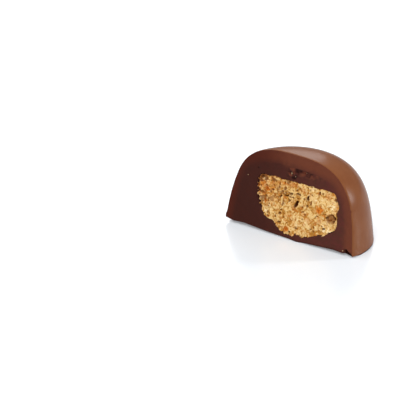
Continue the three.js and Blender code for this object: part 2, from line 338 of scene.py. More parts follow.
# ---- Meshes ----
class Surface:
    """Grids of points joined into one mesh. Points that coincide become one, with the first one's values."""

    def __init__(self):
        self.points, self.faces, self.looks, self.values, self.count = [], [], [], [], 0

    def grid(self, rows, turned=False, look=0, **values):
        height, width = rows.shape[:2]
        index = self.count + np.arange(height * width).reshape(height, width)
        a, b, d, e = index[:-1, :-1], index[:-1, 1:], index[1:, :-1], index[1:, 1:]
        order = (a, d, e, b) if turned else (a, b, e, d)
        self.faces.append(np.stack([o.ravel() for o in order], 1))
        self.looks.append(np.full(a.size, look))
        self.points.append(rows.reshape(-1, 3))
        self.values.append({k: np.broadcast_to(v, (height, width)).ravel() for k, v in values.items()})
        self.count += height * width

    def attribute(self, name):
        """The values of one attribute at all points, 0 where a grid has none."""
        parts = [v.get(name, np.zeros(len(p))) for v, p in zip(self.values, self.points)]
        return np.concatenate(parts).astype(np.float32)

    def build(self, name, *materials):
        points = np.concatenate(self.points)
        key = np.round(points / WELD).astype(np.int64)
        _, first, back = np.unique(key, axis=0, return_index=True, return_inverse=True)
        back = back.reshape(-1)
        faces, looks = [], []
        for quad, look in zip(back[np.concatenate(self.faces)], np.concatenate(self.looks)):
            corners = [v for n, v in enumerate(quad) if v != quad[n - 1]]
            if len(set(corners)) > 2:
                faces.append(corners)
                looks.append(look)
        mesh = bpy.data.meshes.new(name)
        mesh.from_pydata((points[first] * MM).tolist(), [], faces)
        for attribute in sorted({k for v in self.values for k in v}):
            made = mesh.attributes.new(attribute, "FLOAT", "POINT")
            made.data.foreach_set("value", self.attribute(attribute)[first])
        for material in materials:
            mesh.materials.append(material)
        mesh.polygons.foreach_set("use_smooth", [True] * len(faces))
        mesh.polygons.foreach_set("material_index", looks)
        mesh.update()
        mesh.set_sharp_from_angle(angle=CREASE)
        obj = bpy.data.objects.new(name, mesh)
        bpy.context.scene.collection.objects.link(obj)
        return obj


# ---- Looks of the materials ----
MILK_SKIN, MILK_SKIN_DEEP = linear(129, 79, 49), linear(124, 74, 45)
# the second milk cut colour and the last dark cut colour are shaded copies of the cut chocolates, used for
# painted shade
MILK_CUT, MILK_CUT_SHADED = linear(100, 52, 35), linear(73, 29, 18)
DARK_CUT, DARK_CUT_OLIVE, DARK_CUT_SHADED = linear(82, 39, 34), linear(74, 40, 31), linear(58, 26, 19)
PALE, CREAM, GOLD = linear(238, 212, 166), linear(221, 184, 121), linear(179, 122, 49)
TOAST_PALE, TOAST_DEEP = linear(201, 117, 38), linear(152, 72, 18)
# brown of the crumb's stains, and of the painted shade in its pits, holes, gaps and along its edge
BROWN_STAIN_AND_SHADE = linear(98, 44, 12)
SHADE_CUT = linear(38, 12, 8)
FLOOR_COLOUR, FLOOR_GLOW = linear(214, 218, 222), linear(134, 136, 138)

# roughness, specular level and index of refraction
SKIN_FINISH = (0.25, 1.0, 1.1)
CUT_FINISH = (0.55, 0.07, 1.5)
CRUMB_FINISH = (0.8, 0.05, 1.5)
TABLE_FINISH = (0.25, 0.3, 1.5)
# strength and height in mm of the bumps
SKIN_BUMP = (0.35, 0.03)
CUT_BUMP = (0.45, 0.04)
# size of the lumps in mm, detail and roughness of the noises in the materials
SKIN_MOTTLE = (4.0, 4.0, 0.5)
SKIN_RIPPLE = (1.6, 5.0, 0.5)
KNIFE_GRAIN = (0.6, 5.0, 0.5)
CUT_TONE = (1.1, 4.0, 0.6)
LAYER_WOBBLE = (1.8, 5.0, 0.6)
CRUMB_SPECKLE = (0.3, 3.0, 0.65)
TOAST_SHADE = (0.5, 3.0, 0.5)
# most of such a noise lies between these values
NOISE_LOW, NOISE_HIGH = 0.35, 0.65
WOBBLE_LOW, WOBBLE_HIGH = 0.3, 0.7
# how far the noise moves the line between the chocolates, and the crumb between cream and gold
WOBBLE_SHIFT = 0.15
SPECKLE_SHIFT = 0.3
# the attribute `deep` carries painted shade: from 0 to 1 it blends in the shaded copy of each chocolate, and
# up to this it paints deeper shade in torn places, pits and the chip
DEEPEST_SHADE = 1.4
# milk chocolate begins to take its shaded copy at this value of it
MILK_SHADED_FROM = 0.5
# the attribute `cream` goes from 0, golden, to 1, cream, and turns pale between these
PALE_FROM, PALE_FULL = 1.1, 1.7


def new_material(name, finish):
    material = bpy.data.materials.new(name)
    material.use_nodes = True
    nodes = material.node_tree.nodes
    nodes.clear()
    out = nodes.new("ShaderNodeOutputMaterial")
    shader = nodes.new("ShaderNodeBsdfPrincipled")
    for socket, value in zip(("Roughness", "Specular IOR Level", "IOR"), finish):
        shader.inputs[socket].default_value = value
    material.node_tree.links.new(shader.outputs["BSDF"], out.inputs["Surface"])
    return material, nodes, material.node_tree.links, shader


def noise_node(nodes, links, noise):
    size_mm, detail, roughness = noise
    node = nodes.new("ShaderNodeTexNoise")
    node.inputs["Scale"].default_value = 1 / (size_mm * MM)
    node.inputs["Detail"].default_value = detail
    node.inputs["Roughness"].default_value = roughness
    links.new(nodes.new("ShaderNodeTexCoord").outputs["Object"], node.inputs["Vector"])
    return node.outputs["Fac"]


def remap(nodes, links, value, low, high, to_low=0.0, to_high=1.0):
    node = nodes.new("ShaderNodeMapRange")
    node.interpolation_type = "SMOOTHSTEP"
    for socket, number in zip(("From Min", "From Max", "To Min", "To Max"), (low, high, to_low, to_high)):
        node.inputs[socket].default_value = number
    links.new(value, node.inputs["Value"])
    return node.outputs["Result"]


def add_node(nodes, links, first, second, clamped):
    node = nodes.new("ShaderNodeMath")
    node.operation = "ADD"
    node.use_clamp = clamped
    links.new(first, node.inputs[0])
    links.new(second, node.inputs[1])
    return node.outputs[0]


def blend_colour(nodes, links, factor, first, second):
    node = nodes.new("ShaderNodeMix")
    node.data_type = "RGBA"
    for socket, value in ((node.inputs[0], factor), (node.inputs[6], first), (node.inputs[7], second)):
        if isinstance(value, bpy.types.NodeSocket):
            links.new(value, socket)
        else:
            socket.default_value = value
    return node.outputs[2]


def attribute_node(nodes, name):
    node = nodes.new("ShaderNodeAttribute")
    node.attribute_name = name
    return node.outputs["Fac"]


def add_bump(nodes, links, shader, height, bump):
    strength, distance_mm = bump
    node = nodes.new("ShaderNodeBump")
    node.inputs["Strength"].default_value = strength
    node.inputs["Distance"].default_value = distance_mm * MM
    links.new(height, node.inputs["Height"])
    links.new(node.outputs["Normal"], shader.inputs["Normal"])


def cut_colour(nodes, links):
    """Milk chocolate outside, running softly into the darker filling; painted shade turns both into their
    shaded copies, and the deepest painted shade into a near-black brown.
    """
    noise = noise_node(nodes, links, LAYER_WOBBLE)
    wobble = remap(nodes, links, noise, WOBBLE_LOW, WOBBLE_HIGH, -WOBBLE_SHIFT, WOBBLE_SHIFT)
    core = add_node(nodes, links, attribute_node(nodes, "core"), wobble, True)
    # the attribute `deep` is painted shade on the cut
    deep = attribute_node(nodes, "deep")
    tone = remap(nodes, links, noise_node(nodes, links, CUT_TONE), NOISE_LOW, NOISE_HIGH)
    dark = blend_colour(nodes, links, tone, DARK_CUT, DARK_CUT_OLIVE)
    dark = blend_colour(nodes, links, deep, dark, DARK_CUT_SHADED)
    dark = blend_colour(nodes, links, remap(nodes, links, deep, 1.0, DEEPEST_SHADE), dark, SHADE_CUT)
    milk_shaded = remap(nodes, links, deep, MILK_SHADED_FROM, 1.0)
    milk = blend_colour(nodes, links, milk_shaded, MILK_CUT, MILK_CUT_SHADED)
    return blend_colour(nodes, links, core, milk, dark)


def skin_material():
    """The moulded skin: satin, with the faint unevenness that the mould leaves."""
    material, nodes, links, shader = new_material("milk_chocolate", SKIN_FINISH)
    mottle = remap(nodes, links, noise_node(nodes, links, SKIN_MOTTLE), NOISE_LOW, NOISE_HIGH)
    links.new(blend_colour(nodes, links, mottle, MILK_SKIN, MILK_SKIN_DEEP), shader.inputs["Base Color"])
    add_bump(nodes, links, shader, noise_node(nodes, links, SKIN_RIPPLE), SKIN_BUMP)
    return material


def cut_material(name):
    """Chocolate cut by a knife: dull and waxy, with fine grain."""
    material, nodes, links, shader = new_material(name, CUT_FINISH)
    links.new(cut_colour(nodes, links), shader.inputs["Base Color"])
    add_bump(nodes, links, shader, noise_node(nodes, links, KNIFE_GRAIN), CUT_BUMP)
    return material


def biscuit_material():
    """Crumb painted cream on its lumps and golden in its hollows, toasted in patches, with brown stains and
    painted shade in its pits, holes, gaps and along its edge.
    """
    material, nodes, links, shader = new_material("biscuit", CRUMB_FINISH)
    noise = noise_node(nodes, links, CRUMB_SPECKLE)
    speckle = remap(nodes, links, noise, NOISE_LOW, NOISE_HIGH, -SPECKLE_SHIFT, SPECKLE_SHIFT)
    cream = add_node(nodes, links, attribute_node(nodes, "cream"), speckle, False)
    crumb = blend_colour(nodes, links, remap(nodes, links, cream, 0.0, 1.0), GOLD, CREAM)
    crumb = blend_colour(nodes, links, remap(nodes, links, cream, PALE_FROM, PALE_FULL), crumb, PALE)
    shade = remap(nodes, links, noise_node(nodes, links, TOAST_SHADE), NOISE_LOW, NOISE_HIGH)
    toasted = blend_colour(nodes, links, shade, TOAST_DEEP, TOAST_PALE)
    colour = blend_colour(nodes, links, attribute_node(nodes, "toast"), crumb, toasted)
    colour = blend_colour(nodes, links, attribute_node(nodes, "pore"), colour, BROWN_STAIN_AND_SHADE)
    links.new(colour, shader.inputs["Base Color"])
    return material


# ---- The cut chocolate ----
# distances in mm outside and inside the cavity's edge between which milk chocolate turns into dark
CORE_OUTSIDE, CORE_INSIDE = 1.3, 0.7
# painted shade darkens the cut from this x to its opposite, towards the left end, and over this height at the
# foot, along the table
SHADE_FROM_X = 12.0
FOOT_SHADE_HEIGHT = 0.5
# the domes where shell and filling meet show nowhere, and take this much of the painted shade
HIDDEN_SHADE = 0.5


def core_share(points):
    """0 in the milk chocolate, 1 in the dark filling, from the distance to the cavity's edge on the cut. In
    the chip it is 1, so the dark colour paints shade into that recess.
    """
    edge = cut_edge(half_dome(CAVITY, CAVITY_X, 0, 0, CORE_COLUMNS, CORE_ROWS))[:, ::2]
    flat = points.reshape(-1, 3)[:, ::2]
    distance = np.empty(len(flat))
    for start in range(0, len(flat), CHUNK):
        gap = np.linalg.norm(flat[start : start + CHUNK, None] - edge[None], axis=2)
        distance[start : start + CHUNK] = gap.min(1)
    inside = np.abs(flat[:, 0] - CAVITY_X) < dome_radius(flat[:, 1], CAVITY)
    share = smooth(-CORE_OUTSIDE, CORE_INSIDE, np.where(inside, distance, -distance))
    # in the chip the dark colour stands for painted shade in the recess
    return np.maximum(share, chipped(flat[:, 0], flat[:, 1])).reshape(points.shape[:-1])


def painted_shade_share(points):
    """How much painted shade the cut gets: it darkens to the left, in the recess of the chip and along the
    foot at the table.
    """
    x, z = points[..., 0], points[..., 2]
    left = smooth(SHADE_FROM_X, -SHADE_FROM_X, x)
    foot = smooth(FOOT_SHADE_HEIGHT, 0.0, z - cut_edge_z(x))
    return np.maximum(np.maximum(left, foot), DEEPEST_SHADE * chipped(x, z))


def soften(points):
    """The points near the cut edge move a little into the chocolate: the knife left no perfect corner."""
    behind = points[..., 1] - cut_y(points[..., 0], points[..., 2])
    near = np.clip(1 - behind / (2 * CUT_EDGE_ROUND), 0, 1)
    inward = np.array([0, 0, DOME["height"] / 3]) - points
    inward[..., 1] = 0
    inward /= np.linalg.norm(inward, axis=-1, keepdims=True)
    return points + CUT_EDGE_ROUND * near[..., None] * (inward + (0, 1, 0))


def build_shell(skin, cut):
    outer = half_dome(DOME, 0, RIM_RISE, 1, SHELL_COLUMNS, ROWS_UP)
    inner = half_dome(CAVITY, CAVITY_X, 0, 0, SHELL_COLUMNS, ROWS_UP)
    outer_edge, inner_edge = cut_edge(outer), cut_edge(inner)
    front = outer_edge + (inner_edge - outer_edge) * BAND_SHARES[:, None, None]
    for end in (0, -1):
        front[1:-1, end, 2] = cut_edge_z(front[1:-1, end, 0])
    front[..., 1] = cut_y(front[..., 0], front[..., 2])
    front[0], outer = soften(front[0]), soften(outer)
    under = outer[0] + (inner[0] - outer[0]) * BAND_SHARES[:, None, None]
    under[1:-1, :, 2] = under_z(under[1:-1, :, 0], under[1:-1, :, 1])
    under[:, 0], under[:, -1] = front[:, 0], front[:, -1]
    shell = Surface()
    # the attribute `deep` is painted shade: darker to the left, along the foot and in the chip
    shell.grid(front, False, 1, core=core_share(front), deep=painted_shade_share(front))
    shell.grid(under, True, 1, core=core_share(under), deep=painted_shade_share(under))
    shell.grid(outer, core=0.0, deep=0.0)
    shell.grid(inner, True, 1, core=1.0, deep=HIDDEN_SHADE)
    return shell.build("shell_look", skin, cut)


# ---- The dark filling ----
# x, z, half width and depth of the pits that the knife left above the biscuit
PITS = (
    (-0.75, 12.45, 0.2, 0.22),
    (-0.3, 12.15, 0.14, 0.2),
    (0.35, 12.0, 0.22, 0.25),
    (0.15, 12.75, 0.16, 0.15),
    (0.95, 13.35, 0.3, 0.16),
    (1.7, 13.3, 0.26, 0.16),
    (2.35, 13.15, 0.3, 0.18),
    (3.1, 13.3, 0.22, 0.14),
    (3.85, 14.1, 0.26, 0.18),
    (4.5, 13.4, 0.2, 0.12),
    (3.5, 12.6, 0.25, 0.12),
    (-1.1, 11.7, 0.16, 0.2),
    (0.1, 11.55, 0.2, 0.24),
    (-8.3, 11.7, 0.14, 0.1),
)
# x, z, half width and half height of the places where the cut chocolate is torn
TORN = ((-0.2, 12.3, 0.9, 1.2), (2.6, 13.2, 2.8, 0.8))
# size in mm and amount of each noise that roughens the torn places, and their depth in mm
COARSE_TEAR, FINE_TEAR = (0.6, 0.8), (0.3, 0.9)
TORN_DEPTH = 0.16
# size and depth in mm of the unevenness of the clean cut
WAVE, RIPPLE = (2.6, 0.03), (0.7, 0.012)
# how strongly torn places and pits change the colour: painted light on the proud bits of a tear, painted
# shade in its hollows and in the pits
TEAR_PAINTED_LIGHT, TEAR_PAINTED_SHADE, PIT_PAINTED_SHADE = 2.0, 1.8, 0.9
# the relief is full after one part in this many of the way from the cavity's edge to the biscuit
RELIEF_GROWS = 8
# the well that holds the biscuit: how far its wall leans in, how deep it goes and how its rows lie
WELL_SHRINK = -0.5
WELL_WALL, WELL_FLOOR = 1.6, 2.2
WELL_STEPS = np.linspace(0.15, 1, 7)
WELL_POWER = 0.6


def torn(x, z):
    """Roughness of the torn places, from about -1 to 1, and 0 where the knife cut clean."""
    p = flat_points(x, z)
    tear = np.maximum.reduce([patch(p[:, 0], p[:, 2], *place) for place in TORN])
    rough = COARSE_TEAR[1] * value_noise(p, COARSE_TEAR[0], SEEDS["coarse tear"])
    rough += FINE_TEAR[1] * value_noise(p, FINE_TEAR[0], SEEDS["fine tear"])
    return (tear * rough).reshape(x.shape)


def chocolate_relief(x, z):
    """How far the cut chocolate lies behind the plane of the cut."""
    p = flat_points(x, z)
    relief = WAVE[1] * value_noise(p, WAVE[0], SEEDS["wave"])
    relief += RIPPLE[1] * value_noise(p, RIPPLE[0], SEEDS["ripple"])
    relief = relief.reshape(x.shape) + TORN_DEPTH * torn(x, z)
    for at_x, at_z, wide, deep in PITS:
        relief = relief + deep * patch(x, z, at_x, at_z, wide, wide)
    return relief


def pitted(x, z):
    """1 in the middle of a pit of the cut chocolate, 0 away from it."""
    return np.maximum.reduce([patch(x, z, at_x, at_z, wide, wide) for at_x, at_z, wide, _ in PITS])


def filling_under(arc):
    """The underside, from the dome's foot to the foot of the cut."""
    chord_x = np.linspace(arc[0, 0], arc[-1, 0], FILLING_COLUMNS)
    chord = np.stack([chord_x, cut_y(chord_x, cut_edge_z(chord_x)), cut_edge_z(chord_x)], 1)
    chord[0], chord[-1] = arc[0], arc[-1]
    under = arc + (chord - arc) * np.linspace(0, 1, FILLING_UNDER_ROWS)[:, None, None]
    under[1:-1, :, 2] = under_z(under[1:-1, :, 0], under[1:-1, :, 1])
    under[:, 0], under[:, -1] = arc[0], arc[-1]
    return under, chord


def filling_face(loop, rim_x, rim_z):
    """The cut face, from the edge of the filling to the rim round the biscuit."""
    rows = []
    for t in np.linspace(0, 1, FILLING_FACE_ROWS):
        x, z = mix(loop[:, 0], rim_x, t), mix(loop[:, 2], rim_z, t)
        y = cut_y(x, z) + chocolate_relief(x, z) * min(1.0, RELIEF_GROWS * t)
        rows.append(np.stack([x, y, z], 1))
    rows[0] = loop
    return np.array(rows)


def filling_well(first_row, angle, rim_x, rim_z):
    """The wall and the floor of the well behind the biscuit's face."""
    well_x, well_z = section_edge(angle, WELL_SHRINK)
    rows = [first_row]
    for t in WELL_STEPS:
        x, z = mix(rim_x, well_x, t**WELL_POWER), mix(rim_z, well_z, t**WELL_POWER)
        rows.append(np.stack([x, cut_y(x, z) + chocolate_relief(x, z) + WELL_WALL * t, z], 1))
    middle = [MIDDLE_X, float(cut_y(MIDDLE_X, MIDDLE_Z)) + WELL_FLOOR, MIDDLE_Z]
    rows.append(np.tile(middle, (len(angle), 1)))
    return np.array(rows)


def build_filling(material):
    dome = half_dome(CAVITY, CAVITY_X, 0, 0, FILLING_COLUMNS, ROWS_UP)
    under, chord = filling_under(dome[0])
    loop = np.concatenate([cut_edge(dome), chord[::-1][1:]])
    angle = np.arctan2(loop[:, 2] - MIDDLE_Z, loop[:, 0] - MIDDLE_X)
    rim_x, rim_z = section_edge(angle, RIM_GROW)
    face = filling_face(loop, rim_x, rim_z)
    well = filling_well(face[-1], angle, rim_x, rim_z)
    x, z = face[..., 0], face[..., 2]
    tear = torn(x, z)
    # painted light on the proud bits of the torn places, painted shade in their hollows and in the pits
    core = np.clip(core_share(face) - TEAR_PAINTED_LIGHT * np.maximum(-tear, 0), 0, 1)
    deep = painted_shade_share(face) + TEAR_PAINTED_SHADE * np.maximum(tear, 0) + PIT_PAINTED_SHADE * pitted(x, z)
    filling = Surface()
    filling.grid(face, core=core, deep=np.clip(deep, 0, DEEPEST_SHADE))
    filling.grid(under, True, core=1.0, deep=painted_shade_share(under))
    filling.grid(dome, core=1.0, deep=HIDDEN_SHADE)
    filling.grid(well, core=1.0, deep=painted_shade_share(well))
    return filling.build("filling_look", material)


# ---- The biscuit ----
# x, z, half width, half height, turn in radians, depth: holes that the cut opened in the crumb
HOLES = (
    (1.0, 6.8, 0.38, 0.72, -0.5, 0.9),
    (9.85, 6.3, 0.42, 0.52, 0.5, 0.9),
    (9.3, 6.0, 1.0, 0.8, 0.4, 0.38),
    (8.3, 5.85, 0.3, 0.2, 0.2, 0.5),
    (9.8, 5.45, 0.35, 0.2, 0.4, 0.5),
    (3.6, 8.7, 0.25, 0.38, 0.2, 0.7),
    (1.45, 8.8, 0.45, 0.19, 0.1, 0.5),
    (-0.45, 8.55, 0.42, 0.22, 0.55, 0.45),
    (-1.35, 7.95, 0.55, 0.2, 0.1, 0.5),
    (-2.65, 7.55, 0.45, 0.2, 0.8, 0.45),
    (3.75, 7.25, 0.25, 0.2, 0.0, 0.45),
    (-7.2, 10.2, 0.4, 0.22, 0.3, 0.5),
    (-4.6, 8.4, 0.28, 0.16, 0.3, 0.45),
    (-2.7, 2.75, 0.25, 0.14, 0.2, 0.5),
    (-2.5, 4.3, 0.25, 0.14, 0.2, 0.45),
    (-0.1, 1.45, 0.18, 0.24, 0.2, 0.6),
    (7.8, 3.85, 0.35, 0.16, 0.3, 0.5),
    (1.4, 2.4, 0.24, 0.13, 0.0, 0.4),
    (9.95, 9.75, 0.22, 0.4, 0.6, 0.5),
    (6.15, 10.1, 0.2, 0.4, -0.2, 0.4),
)
# x, z, half width, half height, strength: where the crumb is toasted
TOASTED = (
    (6.6, 7.15, 1.0, 0.75, 1.5),
    (-5.8, 8.3, 0.8, 0.5, 1.3),
    (-7.0, 9.25, 0.85, 0.7, 0.85),
    (-6.1, 6.05, 0.4, 0.55, 1.3),
    (-0.7, 1.85, 0.75, 0.55, 1.3),
    (6.8, 5.15, 0.45, 0.35, 0.8),
    (4.0, 4.75, 1.0, 0.6, 0.5),
    (8.2, 9.95, 0.8, 0.8, 0.6),
    (6.15, 10.05, 0.35, 0.5, 0.9),
    (0.1, 10.3, 1.3, 0.5, 0.8),
    (-2.0, 10.15, 1.0, 0.3, 0.8),
    (9.3, 6.15, 1.1, 0.95, 0.6),
    (2.5, 9.75, 1.3, 0.6, 0.5),
    (0.9, 5.8, 0.8, 0.4, 0.6),
    (10.4, 8.6, 0.35, 1.1, 0.7),
    (1.3, 2.6, 0.9, 0.3, 0.5),
)
# x, z, half width, half height, strength: where the crumb is paler than elsewhere
BLEACHED = (
    (-5.6, 4.6, 1.0, 0.7, 0.9),
    (-7.4, 6.2, 0.6, 0.6, 0.9),
    (-6.6, 10.1, 0.5, 0.35, 0.8),
    (5.6, 8.6, 2.2, 1.6, 0.5),
    (9.6, 8.4, 0.8, 0.8, 0.9),
    (5.0, 10.6, 2.0, 0.35, 0.6),
    (8.6, 3.7, 1.8, 1.1, 1.0),
    (2.6, 3.4, 3.4, 1.6, 0.3),
)
# sizes in mm of the grains, of the unevenness over them and of the noise that bends their outlines
COARSE, FINE, GRIT, SWELL = 0.8, 0.4, 0.24, 2.3
BEND_SIZE, BEND = 0.7, 0.2
# what share of the bend the fine grains take, and how far apart the three noises of the bend are taken
FINE_BEND, BEND_APART = 0.6, 40
# how deep the crumb lies between the grains, and how far each kind stands out of it, in mm
CRUMB_LEVEL = 0.34
COARSE_STANDS, FINE_STANDS, GRIT_STANDS, SWELL_STANDS = 0.22, 0.16, 0.05, 0.1
# a lump is this high in its middle, and falls off with the square of the distance
LUMP_TOP = 1.05
# lump heights between which golden turns to cream, which paints light on the tops of the grains, and what
# each grain and the grit add to them as random tone
GOLDEN_UNDER, CREAM_ABOVE = 0.42, 1.08
GRAIN_VARIES, GRIT_VARIES = 0.45, 0.25
# lump heights between which painted shade darkens a gap between the grains, and what the grit adds to them
GAP_SHALLOW, GAP_DEEP, GAP_GRIT = 0.62, 0.38, 0.12
# how much painted shade the gaps get everywhere, and how much more on the busy side
GAP_SHADE, GAP_SHADE_BUSY = 0.2, 0.3
# x at the middle's height where a side begins and where it is full, and how its line leans
BUSY_SIDE = (5.0, -5.0, 1.6)
BROWN_SIDE = (-1.0, -8.0, 0.7)
# the heights between which the brown side begins
BROWN_FROM_Z, BROWN_FULL_Z = 3.5, 7.0
# small open pits: spacing, share of the grains that are pits, size, depth and painted shade
PIT = {"spacing": 0.9, "share": 0.05, "share_busy": 0.16, "rim": 0.36, "floor": 0.18}
PIT_SIZE_LEAST, PIT_SIZE_VARIES = 0.8, 1.6
PIT_DEPTH, PIT_SHADE = 0.08, 0.75
# stains of the brown side
STAIN = {"size": 0.5, "low": 0.15, "high": 0.5, "dark": 0.8}
# shares of a hole's size at the top and the foot of its wall, and at the outside and inside of its painted
# shade
HOLE_WALL = (1.15, 0.75)
HOLE_SHADE = (1.3, 0.9)
# how much painted shade each mm of depth gives a hole
HOLE_SHADE_PER_MM = 1.4
# toast on single grains, on the grit of the brown side, and in scattered blots
TOAST_GRAINS = {"low": 0.86, "high": 0.95, "strength": 0.75}
TOAST_GRIT = {"low": -0.2, "high": 0.5, "strength": 0.9}
TOAST_BLOTS = {"size": 1.1, "low": 0.3, "high": 0.8, "strength": 0.5, "bend": 2}
# the uneven edge of a toasted patch, and how much less toasted the tops of the fine grains are, which paints
# them lighter
TOAST_EDGE = {"size": 0.45, "amount": 0.22, "low": 0.2, "high": 0.75}
TOAST_LESS_ON_TOPS = 0.2
# the ragged line where the crumb meets the filling: sizes in mm and amounts of its two noises
FRINGE, FINE_FRINGE = (0.7, 0.25), (0.26, 0.13)
# how much more ragged it is at the left and at the lower right, and where those places are
CRUMBLING = 1.2
LEFT_FROM_X, LEFT_FULL_X = -4.0, -8.0
LOWER_RIGHT = {"from_x": 4.0, "full_x": 7.0, "from_z": 4.0, "full_z": 2.0}
# how far it is eaten in at the left and at the far right
EATEN_LEFT, EATEN_RIGHT = 0.05, 0.1
FAR_RIGHT_FROM, FAR_RIGHT_FULL = 9.5, 10.5
# outside the line the crumb falls away, and painted shade darkens it along the line, where it drops back
# behind the chocolate
FALL_DEPTH, FALL_WIDTH = 1.5, 0.4
LINE_SHADE, LINE_INSIDE, LINE_OUTSIDE = 0.9, 0.12, 0.1
# the crumb is never deeper or paler than this
DEPTH_MOST, CREAM_MOST = 4.0, 2
# how far the crumb's mesh reaches past the outline, and how the lobes of the outline fade inwards
MESH_OVERLAP = 0.4
LOBE_FADE = 3
# values of the biscuit's sides and back
BACK_LOOK = {"cream": 0.4, "toast": 0.2, "pore": 0.3}


def side_share(x, z, side):
    """0 to 1 across a slanting line over the cut."""
    begins, full, lean = side
    return smooth(begins, full, x - lean * (z - MIDDLE_Z))


def crumb_pits(p, busy):
    """1 in the small open pits, 0 elsewhere. The busy side has more of them."""
    near, own = grains(p, PIT["spacing"], SEEDS["pit"], 0.0)
    is_pit = own < PIT["share"] + PIT["share_busy"] * busy
    return is_pit * smooth(PIT["rim"], PIT["floor"], near / (PIT_SIZE_LEAST + PIT_SIZE_VARIES * own))


def crumb_holes(x, z):
    """Depth and painted shade of the larger holes."""
    depth, dark = np.zeros(len(x)), np.zeros(len(x))
    for hole_x, hole_z, wide, tall, turn, deep in HOLES:
        dx, dz = x - hole_x, z - hole_z
        along = (dx * math.cos(turn) + dz * math.sin(turn)) / wide
        across = (dz * math.cos(turn) - dx * math.sin(turn)) / tall
        out = np.hypot(along, across)
        depth = depth + deep * smooth(*HOLE_WALL, out)
        dark = np.maximum(dark, smooth(*HOLE_SHADE, out) * min(1.0, HOLE_SHADE_PER_MM * deep))
    return depth, dark


def crumb_toast(p, bend, grain_own, grit, brown):
    """How toasted the crumb is, from 0 up."""
    grain = smooth(TOAST_GRAINS["low"], TOAST_GRAINS["high"], grain_own)
    gritty = brown * smooth(TOAST_GRIT["low"], TOAST_GRIT["high"], grit)
    toast = np.maximum(TOAST_GRAINS["strength"] * grain, TOAST_GRIT["strength"] * gritty)
    blots = value_noise(p + bend * TOAST_BLOTS["bend"], TOAST_BLOTS["size"], SEEDS["toast"])
    blots = smooth(TOAST_BLOTS["low"], TOAST_BLOTS["high"], blots)
    toast = np.maximum(toast, TOAST_BLOTS["strength"] * blots)
    uneven = TOAST_EDGE["amount"] * value_noise(p, TOAST_EDGE["size"], SEEDS["toast edge"])
    for *place, strength in TOASTED:
        inside = patch(p[:, 0], p[:, 2], *place) + uneven
        toast = np.maximum(toast, strength * smooth(TOAST_EDGE["low"], TOAST_EDGE["high"], inside))
    return toast


def crumb_fringe(p, beyond):
    """Distance outside the ragged line where the crumb meets the filling, from that outside the outline."""
    x, z = p[:, 0], p[:, 2]
    left = smooth(LEFT_FROM_X, LEFT_FULL_X, x)
    lower_right = smooth(LOWER_RIGHT["from_x"], LOWER_RIGHT["full_x"], x)
    lower_right = lower_right * smooth(LOWER_RIGHT["from_z"], LOWER_RIGHT["full_z"], z)
    fringe = FRINGE[1] * value_noise(p, FRINGE[0], SEEDS["fringe"])
    fringe += FINE_FRINGE[1] * value_noise(p, FINE_FRINGE[0], SEEDS["fine fringe"])
    eaten = EATEN_LEFT * left + EATEN_RIGHT * smooth(FAR_RIGHT_FROM, FAR_RIGHT_FULL, x)
    return beyond + eaten + (1 + CRUMBLING * np.maximum(left, lower_right)) * fringe


def crumb(grid_x, grid_z, beyond):
    """Depth of the crumb behind the cut, how cream and toasted it is, and its brown stains and painted shade.
    """
    p = flat_points(grid_x, grid_z)
    x, z = p[:, 0], p[:, 2]
    bend = [value_noise(p + BEND_APART * n, BEND_SIZE, SEEDS["warp"] + n) for n in range(3)]
    bend = np.stack(bend, 1) * BEND
    coarse, coarse_own = grains(p + bend, COARSE, SEEDS["coarse grain"])
    fine, fine_own = grains(p + bend * FINE_BEND, FINE, SEEDS["fine grain"])
    coarse_lump, fine_lump = np.clip(LUMP_TOP - coarse**2, 0, 1), np.clip(LUMP_TOP - fine**2, 0, 1)
    grit = value_noise(p, GRIT, SEEDS["grit"])
    busy = side_share(x, z, BUSY_SIDE)
    brown = side_share(x, z, BROWN_SIDE) * smooth(BROWN_FROM_Z, BROWN_FULL_Z, z)
    pits = crumb_pits(p + bend, busy)
    hole_depth, hole_shade = crumb_holes(x + bend[:, 0], z + bend[:, 2])
    outside = crumb_fringe(p, beyond.ravel())

    depth = CRUMB_LEVEL - COARSE_STANDS * coarse_lump - FINE_STANDS * fine_lump - GRIT_STANDS * grit
    depth = depth - SWELL_STANDS * value_noise(p, SWELL, SEEDS["swell"])
    depth = depth + PIT_DEPTH * pits + hole_depth + FALL_DEPTH * smooth(0.0, FALL_WIDTH, outside)

    lump = (coarse_lump + fine_lump) / 2
    # partly painted light: the tops of the grains turn cream and the low crumb golden by height; each grain
    # and the grit add their own random tone
    cream = smooth(GOLDEN_UNDER, CREAM_ABOVE, lump + GRAIN_VARIES * (coarse_own - 0.5) + GRIT_VARIES * grit)
    toast = crumb_toast(p, bend, fine_own, grit, brown) * (1 - TOAST_LESS_ON_TOPS * fine_lump)
    for *place, strength in BLEACHED:
        pale = strength * patch(x, z, *place)
        cream = cream + pale * fine_lump
        toast = toast * (1 - pale)

    stain = smooth(STAIN["low"], STAIN["high"], value_noise(p + bend, STAIN["size"], SEEDS["brown"]))
    # painted shade in the gaps between the grains
    gap = (GAP_SHADE + GAP_SHADE_BUSY * busy) * smooth(GAP_SHALLOW, GAP_DEEP, lump + GAP_GRIT * grit)
    # painted shade along the edge where the crumb drops back behind the chocolate
    line_shade = LINE_SHADE * smooth(-LINE_INSIDE, LINE_OUTSIDE, outside)
    # brown stains, and painted shade in the pits, the gaps between grains, the holes and along the edge
    pore = np.maximum.reduce((PIT_SHADE * pits, STAIN["dark"] * brown * stain, gap, hole_shade, line_shade))
    limits = ((depth, DEPTH_MOST), (cream, CREAM_MOST), (toast, 1), (pore, 1))
    return [np.clip(value, 0, most).reshape(grid_x.shape) for value, most in limits]


